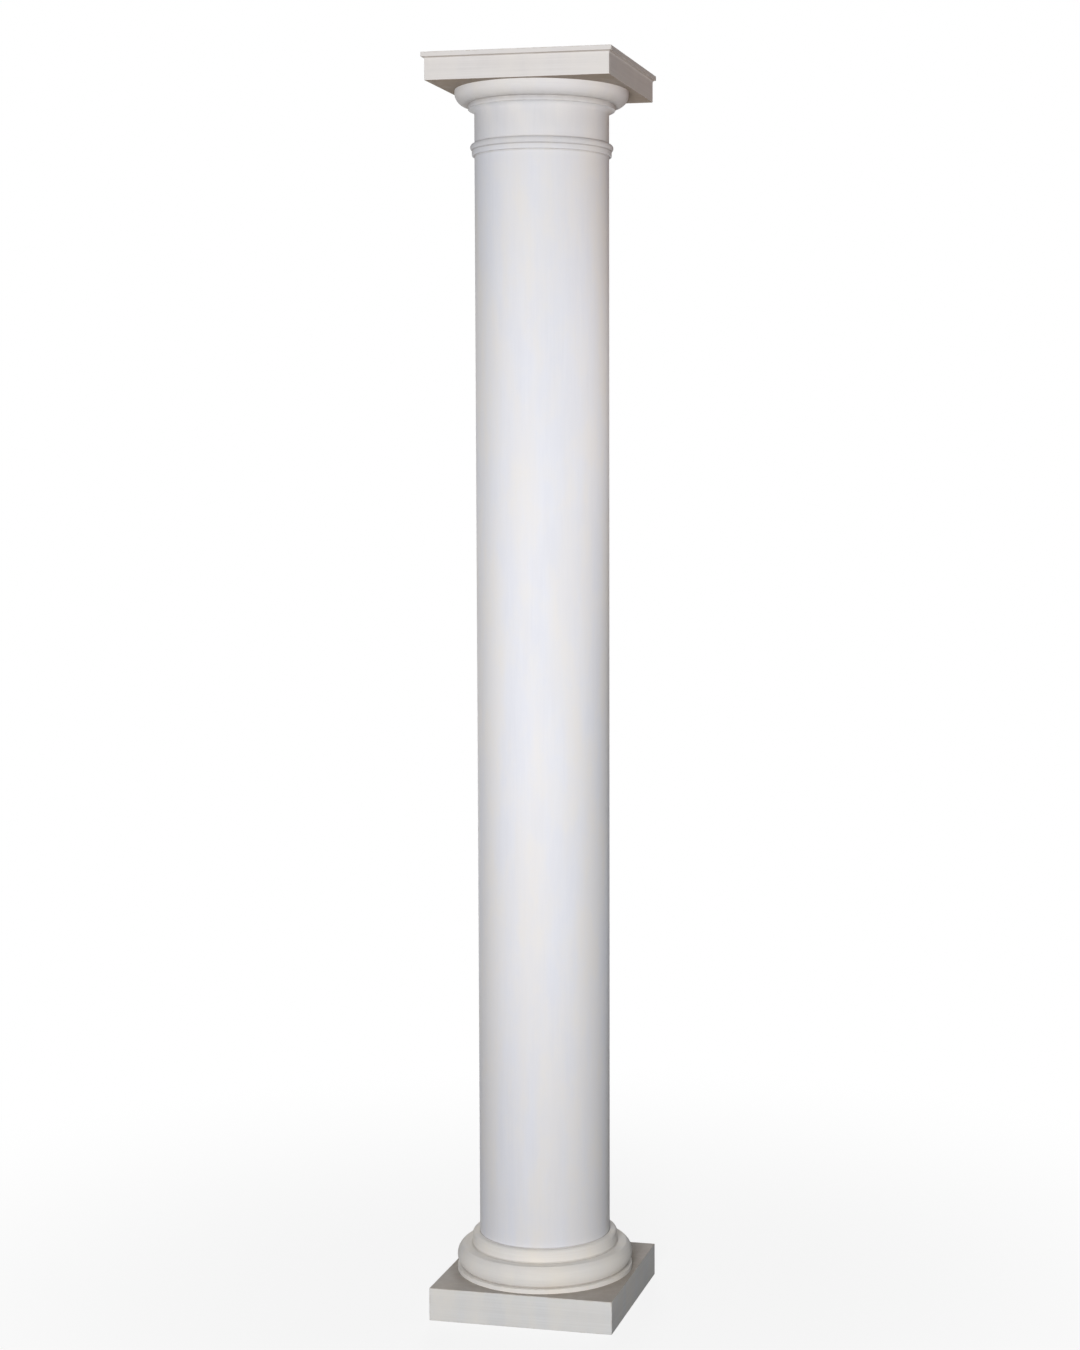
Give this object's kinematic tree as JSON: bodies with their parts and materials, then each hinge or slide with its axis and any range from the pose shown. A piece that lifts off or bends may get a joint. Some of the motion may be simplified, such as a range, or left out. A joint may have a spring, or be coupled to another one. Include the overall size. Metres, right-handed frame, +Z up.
{
  "type": "column",
  "caption": "Round painted wood column: plain hollow shaft with a beaded neck, square plinth, turned torus base, and a turned cap under a square abacus.",
  "frame": {"origin": "middle of the plinth's underside, where the column stands", "axes": "+Z up the shaft, -Y out of the front face of the plinth, +X out of its right face"},
  "size_m": [0.368, 0.368, 2.438],
  "materials": {
    "plinth_paint": "eggshell paint, warm off-white",
    "base_paint": "eggshell paint, warm off-white",
    "shaft_paint": "eggshell paint, cool white",
    "echinus_paint": "eggshell paint, off-white",
    "abacus_paint": "eggshell paint, warm off-white"
  },
  "bodies": {
    "root": {"plinth": "plinth_paint", "base_ring": "base_paint", "shaft": "shaft_paint", "echinus": "echinus_paint", "abacus": "abacus_paint"}
  },
  "joints": []
}
